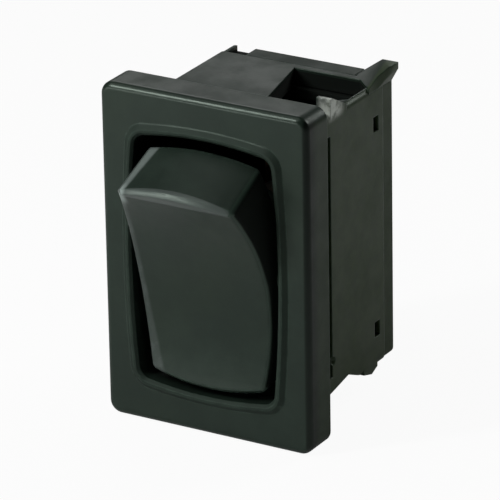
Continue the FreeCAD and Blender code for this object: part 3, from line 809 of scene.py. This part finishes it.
class SWITCH_OT_lever(bpy.types.Operator):
    """Finishes the contact lever"""

    bl_idname = "switch.lever"
    bl_label = "Contact lever"

    def execute(self, context):
        colour = context.scene.switch_metal.copper_colour
        copper = rolled_metal(
            "rolled lever copper", colour, roughness=0.3, line_stretch=(60.0, 1.0, 6.0),
            tarnish=shade(colour, 0.55),
        )
        piece = copy_node("contact_lever", "lever_strip")
        ease_edges(piece, width=0.00004)
        smooth(piece)
        settle(piece, "contact_lever", copper, ["contact_lever"])
        return {"FINISHED"}


class SWITCH_OT_contacts(bpy.types.Operator):
    """Turns the four contact rivets"""

    bl_idname = "switch.contacts"
    bl_label = "Contacts"

    def execute(self, context):
        silver = rolled_metal(
            "contact silver", (0.80, 0.79, 0.76), roughness=0.22,
            line_stretch=(30.0, 30.0, 30.0), tarnish=(0.52, 0.50, 0.46),
        )
        fold = math.radians(LEVER_FOLD_DEG)
        closed = (0, LEVER_Y, CONTACT_SPAN)
        raised = (0, LEVER_Y - CONTACT_SPAN * math.sin(fold), -CONTACT_SPAN * math.cos(fold))
        folded_back = (0, math.cos(fold), -math.sin(fold))
        rivets = (
            ("upper_moving", "contact_lever", MOVING_PROFILE, closed, (0, 1, 0)),
            ("lower_moving", "contact_lever", MOVING_PROFILE, raised, folded_back),
            ("upper_fixed", "housing", FIXED_PROFILE, (0, PAD_Y, CONTACT_SPAN), (0, -1, 0)),
            ("lower_fixed", "housing", FIXED_PROFILE, (0, PAD_Y, -CONTACT_SPAN), (0, -1, 0)),
        )
        for name, body, profile, place, axis in rivets:
            piece = turned(f"{name}_rivet", profile + crown(*profile[-1], CONTACT_CROWN))
            stand(piece, place, axis)
            smooth(piece)
            settle(piece, body, silver, [f"{name}_contact"])
        return {"FINISHED"}


class SWITCH_OT_terminals(bpy.types.Operator):
    """Finishes the three brass terminals"""

    bl_idname = "switch.terminals"
    bl_label = "Terminals"

    def execute(self, context):
        colour = context.scene.switch_metal.brass_colour
        brass = rolled_metal(
            "rolled terminal brass", colour, roughness=0.28, line_stretch=(70.0, 2.0, 10.0),
            tarnish=shade(colour, 0.6),
        )
        for node in ("upper_terminal", "common_terminal", "lower_terminal"):
            piece = copy_node(node, node.replace("terminal", "blade"))
            ease_edges(piece, width=0.00005)
            smooth(piece)
            settle(piece, "housing", brass, [node])
        return {"FINISHED"}


class SWITCH_OT_studio(bpy.types.Operator):
    """Lays the floor, hangs the lights and sets the camera"""

    bl_idname = "switch.studio"
    bl_label = "Studio"

    def execute(self, context):
        settings = context.scene.switch_studio
        self.make_floor()
        target = Vector(TARGET) * MM
        lights = (
            ("top softbox", (-50, -30, 150), 140, 110, settings.key),
            ("rear softbox", (-120, 200, 110), 120, 70, settings.rear),
            ("side softbox", (70, 125, 85), 60, 60, settings.side),
            ("front strip", (-110, -162, 6), 115, 26, settings.front),
            ("narrow lamp", (-70, -91, 92), 16, 52, settings.glint),
        )
        for name, place, width, height, power in lights:
            self.make_light(name, place, target, width, height, power)
        self.make_camera(target)
        self.make_world(settings.room)
        return {"FINISHED"}

    def make_floor(self):
        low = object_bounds()[0].z
        deselect()
        bpy.ops.mesh.primitive_plane_add(size=2.0, location=(0.0, 0.0, low - FLOOR_GAP))
        floor = new_piece("studio_floor")
        set_down(floor)
        pale = white_floor("pale studio floor", shine=0.94, mirror_shine=0.08)
        floor.data.materials.append(pale)
        floor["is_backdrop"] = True

    def make_light(self, name, place_mm, target, width_mm, height_mm, power):
        data = bpy.data.lights.new(name, "AREA")
        data.shape = "RECTANGLE"
        data.size = width_mm * MM
        data.size_y = height_mm * MM
        data.energy = power
        lamp = bpy.data.objects.new(name, data)
        bpy.context.scene.collection.objects.link(lamp)
        lamp.visible_camera = False
        lamp.location = Vector(place_mm) * MM
        lamp.rotation_euler = (target - lamp.location).to_track_quat("-Z", "Y").to_euler()

    def make_camera(self, target):
        azimuth, elevation = math.radians(AZIMUTH_DEG), math.radians(ELEVATION_DEG)
        back = Vector((
            math.sin(azimuth) * math.cos(elevation),
            -math.cos(azimuth) * math.cos(elevation),
            math.sin(elevation),
        ))
        right = Vector((math.cos(azimuth), math.sin(azimuth), 0.0))
        level = Matrix((right, back.cross(right), back)).transposed().to_4x4()
        data = bpy.data.cameras.new("camera")
        data.sensor_width = SENSOR_WIDTH
        data.lens = LENS
        data.shift_x = SHIFT_X
        data.shift_y = SHIFT_Y
        data.clip_start = 0.01
        data.clip_end = 20.0
        camera = bpy.data.objects.new("camera", data)
        bpy.context.scene.collection.objects.link(camera)
        stand_point = Matrix.Translation(target + back * CAMERA_DISTANCE * MM)
        camera.matrix_world = stand_point @ level @ Matrix.Rotation(math.radians(ROLL_DEG), 4, "Z")
        bpy.context.scene.camera = camera

    def make_world(self, strength):
        world = bpy.data.worlds.new("studio")
        bpy.context.scene.world = world
        world.use_nodes = True
        nodes, links = world.node_tree.nodes, world.node_tree.links
        room = nodes["Background"]
        room.inputs["Color"].default_value = (0.96, 0.98, 1.0, 1.0)
        room.inputs["Strength"].default_value = strength
        white = nodes.new("ShaderNodeBackground")
        white.inputs["Color"].default_value = WHITE
        seen = nodes.new("ShaderNodeLightPath")
        mix = nodes.new("ShaderNodeMixShader")
        links.new(seen.outputs["Is Camera Ray"], mix.inputs["Fac"])
        links.new(room.outputs["Background"], mix.inputs[1])
        links.new(white.outputs["Background"], mix.inputs[2])
        links.new(mix.outputs["Shader"], nodes["World Output"].inputs["Surface"])
        bpy.context.scene.view_settings.view_transform = "Standard"


PIECE_STEPS = (
    "housing", "rear_cover", "rocker", "plunger", "lever", "contacts", "terminals", "studio",
)


class SWITCH_PT_panel(bpy.types.Panel):
    """Lists the settings and the steps"""

    bl_idname = "SWITCH_PT_panel"
    bl_label = "Rocker Switch"
    bl_space_type = "VIEW_3D"
    bl_region_type = "UI"
    bl_category = "Rocker Switch"

    def draw(self, context):
        scene = context.scene
        for group in (scene.switch_plastic, scene.switch_metal, scene.switch_studio):
            box = self.layout.box()
            for name in group.__annotations__:
                box.prop(group, name)
        for step in PIECE_STEPS:
            self.layout.operator(f"switch.{step}")


CLASSES = (
    PlasticSettings, MetalSettings, StudioSettings,
    SWITCH_OT_housing, SWITCH_OT_rear_cover, SWITCH_OT_rocker, SWITCH_OT_plunger,
    SWITCH_OT_lever, SWITCH_OT_contacts, SWITCH_OT_terminals, SWITCH_OT_studio, SWITCH_PT_panel,
)


def register():
    for cls in CLASSES:
        bpy.utils.register_class(cls)
    scene = bpy.types.Scene
    scene.switch_plastic = bpy.props.PointerProperty(type=PlasticSettings)
    scene.switch_metal = bpy.props.PointerProperty(type=MetalSettings)
    scene.switch_studio = bpy.props.PointerProperty(type=StudioSettings)


def unregister():
    scene = bpy.types.Scene
    del scene.switch_plastic, scene.switch_metal, scene.switch_studio
    for cls in reversed(CLASSES):
        bpy.utils.unregister_class(cls)


def main():
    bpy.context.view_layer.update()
    register()
    for step in PIECE_STEPS:
        getattr(bpy.ops.switch, step)()


if __name__ == "__main__":
    main()
